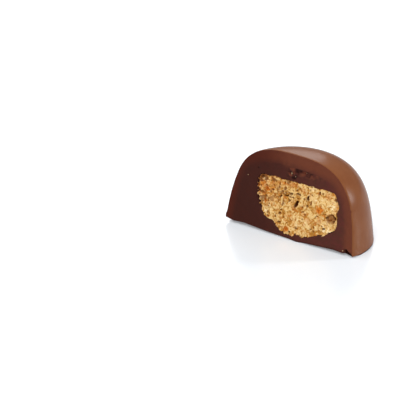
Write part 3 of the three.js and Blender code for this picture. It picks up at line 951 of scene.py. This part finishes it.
def square_to_disc(a, b):
    """The turn and the share of the reach that a point of a square from -1 to 1 takes on the section."""
    share = np.maximum(np.abs(a), np.abs(b))
    along_x = np.abs(a) >= np.abs(b)
    safe = np.where(share == 0, 1, share)
    lead = np.sign(np.where(along_x, a, b))
    turn = np.where(along_x, b, a) / safe * lead * math.pi / 4
    across = np.where(along_x, np.cos(turn), np.sin(turn)) * lead
    upward = np.where(along_x, np.sin(turn), np.cos(turn)) * lead
    return np.arctan2(upward, BISCUIT_ASPECT * across), share


def biscuit_back(rim):
    """The side and the rounded back, which close the biscuit inside the filling."""
    centre = np.array([MIDDLE_X, 0, MIDDLE_Z])
    rows = []
    for turn in np.linspace(0, math.pi / 2, BACK_ROWS):
        row = centre + (rim - centre) * math.cos(turn)
        row[:, 1] = rim[:, 1] + (BISCUIT_DEPTH - FACE_EDGE_DEPTH) * math.sin(turn)
        rows.append(row)
    rows[-1][:] = [MIDDLE_X, float(cut_y(MIDDLE_X, MIDDLE_Z)) + BISCUIT_DEPTH, MIDDLE_Z]
    return np.array(rows)


def build_biscuit(material):
    across, upward = np.linspace(-1, 1, BISCUIT_CELLS_X + 1), np.linspace(-1, 1, BISCUIT_CELLS_Z + 1)
    angle, share = square_to_disc(*np.meshgrid(across, upward, indexing="ij"))
    reach = outline_reach(angle) + ragged(angle) * share**LOBE_FADE
    out = share * (reach + MESH_OVERLAP)
    x, z = MIDDLE_X + out * np.cos(angle), MIDDLE_Z + out * np.sin(angle)
    depth, cream, toast, pore = crumb(x, z, out - reach)
    face = np.stack([x, cut_y(x, z) + depth, z], -1)
    rim = np.concatenate([face[-1, :-1], face[:0:-1, -1], face[0, :0:-1], face[:-1, 0], face[-1:, 0]])
    biscuit = Surface()
    biscuit.grid(face, True, cream=cream, toast=toast, pore=pore)
    biscuit.grid(biscuit_back(rim), True, **BACK_LOOK)
    return biscuit.build("biscuit_look", material)


# x, z and radius of the loose crumbs that stick to the cut
CRUMBS = (
    (-10.6, 9.8, 0.08),
    (-0.5, 12.35, 0.1),
    (-0.52, 12.6, 0.08),
    (0.45, 12.0, 0.07),
    (2.9, 13.2, 0.05),
    (12.7, 0.95, 0.1),
)
CRUMB_TURNS, CRUMB_TILTS = 17, 10
# size and height of a loose crumb's lumps as shares of its radius, and how far apart their noises are taken
CRUMB_LUMP, CRUMB_LUMP_HEIGHT, CRUMBS_APART = 0.9, 0.35, 9
CRUMB_LOOK = {"cream": 1.8, "toast": 0.0, "pore": 0.55}


def build_crumbs(material):
    turns, tilts = np.linspace(0, 2 * math.pi, CRUMB_TURNS), np.linspace(0, math.pi, CRUMB_TILTS)
    turn, tilt = np.meshgrid(turns, tilts)
    ball = np.stack([np.cos(turn) * np.sin(tilt), np.sin(turn) * np.sin(tilt), np.cos(tilt)], -1)
    ball[:, -1] = ball[:, 0]
    crumbs = Surface()
    for number, (at_x, at_z, radius) in enumerate(CRUMBS):
        noise = value_noise(ball.reshape(-1, 3) + CRUMBS_APART * number, CRUMB_LUMP, SEEDS["loose crumb"])
        lumps = 1 + CRUMB_LUMP_HEIGHT * noise.reshape(turn.shape)
        place = (at_x, float(cut_y(at_x, at_z)), at_z)
        crumbs.grid(place + ball * lumps[..., None] * radius, True, **CRUMB_LOOK)
    return crumbs.build("crumbs_look", material)


# ---- Floor, light and camera ----
FLOOR_HALF_M = 4.0
FLOOR_Z_MM = -0.01
# the height that every light looks at, in metres
LIT_HEIGHT_M = 0.008
# name, azimuth and elevation in degrees, distance and size in metres, brightness as a multiple of white paper
LIGHTS = (
    ("overhead", 320, 62, 1.0, (0.8, 0.8), 1.8),
    ("back_sheet", 229, 26, 1.0, (0.6, 0.42), 3.0),
    ("right_sheet", 120, 8, 0.9, (0.45, 0.4), 2.5),
    ("right_box", 144, 18, 0.8, (0.15, 0.24), 27.0),
    ("front_box", 15, 40, 1.0, (0.4, 0.4), 12.0),
)
# brightness of the surroundings at the horizon and from this height of the unit sphere upward
WORLD_HORIZON, WORLD_ABOVE, WORLD_ABOVE_Z = 0.12, 0.34, 0.6


def build_floor():
    mesh = bpy.data.meshes.new("floor")
    half = FLOOR_HALF_M
    corners = [(-half, -half), (half, -half), (half, half), (-half, half)]
    mesh.from_pydata([(x, y, FLOOR_Z_MM * MM) for x, y in corners], [], [(0, 1, 2, 3)])
    material, _, _, shader = new_material("white_table", TABLE_FINISH)
    shader.inputs["Base Color"].default_value = FLOOR_COLOUR
    shader.inputs["Emission Color"].default_value = FLOOR_GLOW
    shader.inputs["Emission Strength"].default_value = 1.0
    mesh.materials.append(material)
    floor = bpy.data.objects.new("floor", mesh)
    bpy.context.scene.collection.objects.link(floor)


def direction(azimuth, elevation):
    """The way from the part to a place round it, from angles in radians. Azimuth 0 is in front of the cut,
    and a quarter turn is at its right end."""
    level = math.cos(elevation)
    return Vector((math.sin(azimuth) * level, -math.cos(azimuth) * level, math.sin(elevation)))


def soft_light(name, azimuth, elevation, distance, size, radiance):
    """A soft box that looks at the part, as bright as a white sheet times `radiance`."""
    away = direction(math.radians(azimuth), math.radians(elevation))
    light = bpy.data.lights.new(name, "AREA")
    light.shape = "RECTANGLE"
    light.size, light.size_y = size
    light.energy = radiance * math.pi * size[0] * size[1]
    lamp = bpy.data.objects.new(name, light)
    lamp.location = away * distance + Vector((0, 0, LIT_HEIGHT_M))
    lamp.rotation_mode = "QUATERNION"
    lamp.rotation_quaternion = away.to_track_quat("Z", "Y")
    lamp.visible_camera = False
    bpy.context.scene.collection.objects.link(lamp)


def build_world():
    """Dim at the horizon and paler above."""
    world = bpy.data.worlds.new("studio")
    world.use_nodes = True
    nodes, links = world.node_tree.nodes, world.node_tree.links
    background = nodes["Background"]
    background.inputs["Color"].default_value = (1, 1, 1, 1)
    split = nodes.new("ShaderNodeSeparateXYZ")
    links.new(nodes.new("ShaderNodeTexCoord").outputs["Generated"], split.inputs[0])
    brightness = remap(nodes, links, split.outputs["Z"], 0.0, WORLD_ABOVE_Z, WORLD_HORIZON, WORLD_ABOVE)
    links.new(brightness, background.inputs["Strength"])
    bpy.context.scene.world = world


def build_camera():
    back = direction(CAMERA_AZIMUTH, CAMERA_ELEVATION)
    right = Vector((math.cos(CAMERA_AZIMUTH), math.sin(CAMERA_AZIMUTH), 0))
    up = back.cross(right)
    roll_right = right * math.cos(CAMERA_ROLL) + up * math.sin(CAMERA_ROLL)
    roll_up = up * math.cos(CAMERA_ROLL) - right * math.sin(CAMERA_ROLL)
    data = bpy.data.cameras.new("camera")
    data.sensor_width = SENSOR_MM
    data.lens = LENS_MM
    data.clip_start, data.clip_end = CLIP_NEAR_M, CLIP_FAR_M
    camera = bpy.data.objects.new("camera", data)
    turn = Matrix((roll_right, roll_up, back)).transposed().to_4x4()
    camera.matrix_world = Matrix.Translation((Vector(CAMERA_TARGET) + back * CAMERA_DISTANCE) * MM) @ turn
    bpy.context.scene.collection.objects.link(camera)
    bpy.context.scene.camera = camera


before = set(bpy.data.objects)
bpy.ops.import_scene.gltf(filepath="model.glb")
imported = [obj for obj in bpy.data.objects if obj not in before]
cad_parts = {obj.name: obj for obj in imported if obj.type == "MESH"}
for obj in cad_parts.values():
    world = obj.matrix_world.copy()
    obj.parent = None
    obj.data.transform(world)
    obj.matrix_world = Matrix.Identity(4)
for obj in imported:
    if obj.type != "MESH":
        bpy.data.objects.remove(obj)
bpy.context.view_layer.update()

biscuit = biscuit_material()
for made, node, slot in (
    (build_shell(skin_material(), cut_material("milk_cut")), "milk_shell", "milk_chocolate"),
    (build_filling(cut_material("dark_chocolate")), "dark_filling", "dark_chocolate"),
    (build_biscuit(biscuit), "biscuit_centre", "biscuit"),
):
    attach(made, "root")
    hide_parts(node)

crumbs = build_crumbs(biscuit)
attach(crumbs, "root")

build_floor()
build_world()
for light in LIGHTS:
    soft_light(*light)
build_camera()
bpy.context.scene.view_settings.view_transform = "Standard"
